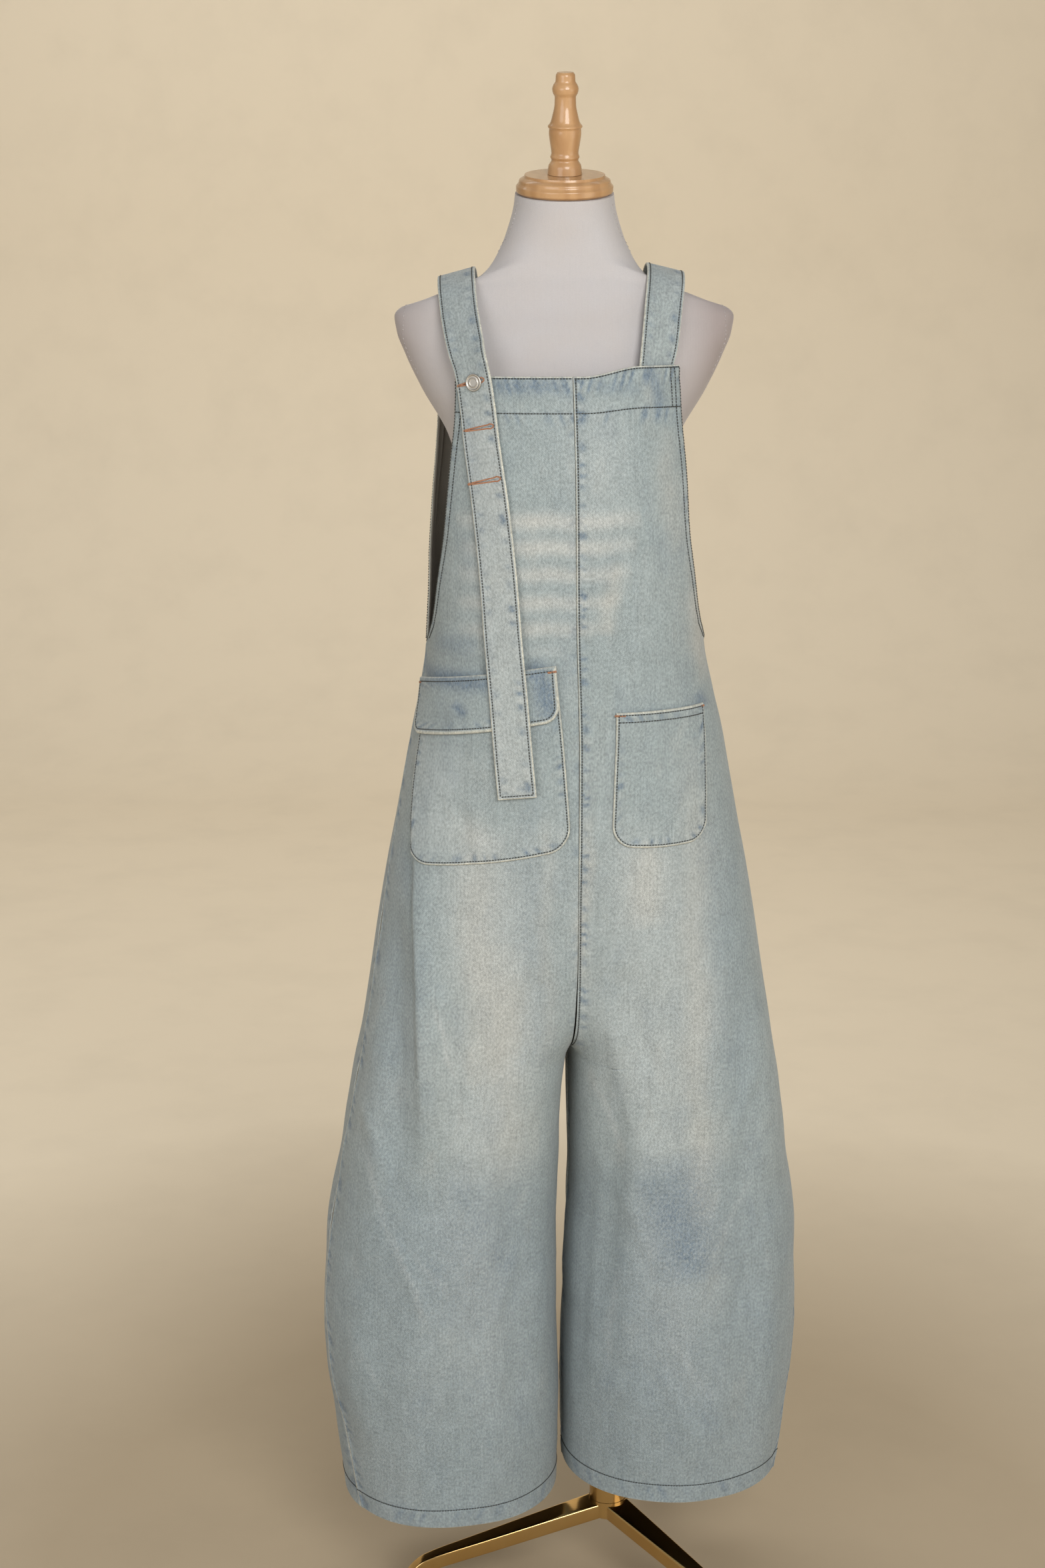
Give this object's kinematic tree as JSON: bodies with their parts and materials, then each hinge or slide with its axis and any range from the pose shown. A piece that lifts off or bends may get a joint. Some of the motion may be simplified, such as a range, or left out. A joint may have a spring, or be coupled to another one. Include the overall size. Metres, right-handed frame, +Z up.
{
  "type": "denim dungarees on a dress form with a stand",
  "caption": "Washed denim dungarees with wide legs, patch pockets and a buttoned strap, worn by a limbless dress form on a brass-coloured stand.",
  "frame": {"origin": "on the floor, under the middle of the part's box", "axes": "+Z up, the garment's front towards -Y, the wearer's right side towards -X"},
  "size_m": [0.5344, 0.4231, 1.6753],
  "materials": {
    "washed_denim": "faded light blue twill, worn pale along its edges",
    "silver_metal": "dull silver, bare face",
    "form_cover": "off-white stretched jersey",
    "tan_wood": "clear-lacquered turned wood",
    "gold_metal": "polished pale gold",
    "glide_rubber": "matt black"
  },
  "bodies": {
    "root": {"front_right_panel": "washed_denim", "front_left_panel": "washed_denim", "back_right_panel": "washed_denim", "back_left_panel": "washed_denim", "pocket_large": "washed_denim", "pocket_flap": "washed_denim", "pocket_small": "washed_denim", "strap_long": "washed_denim", "strap_short": "washed_denim", "shank_button": "silver_metal", "form_torso": "form_cover", "neck_cap": "tan_wood", "neck_finial": "tan_wood", "stand_column": "gold_metal", "stand_base": "gold_metal", "leg_glide_1": "glide_rubber", "leg_glide_2": "glide_rubber", "leg_glide_3": "glide_rubber"}
  },
  "joints": []
}
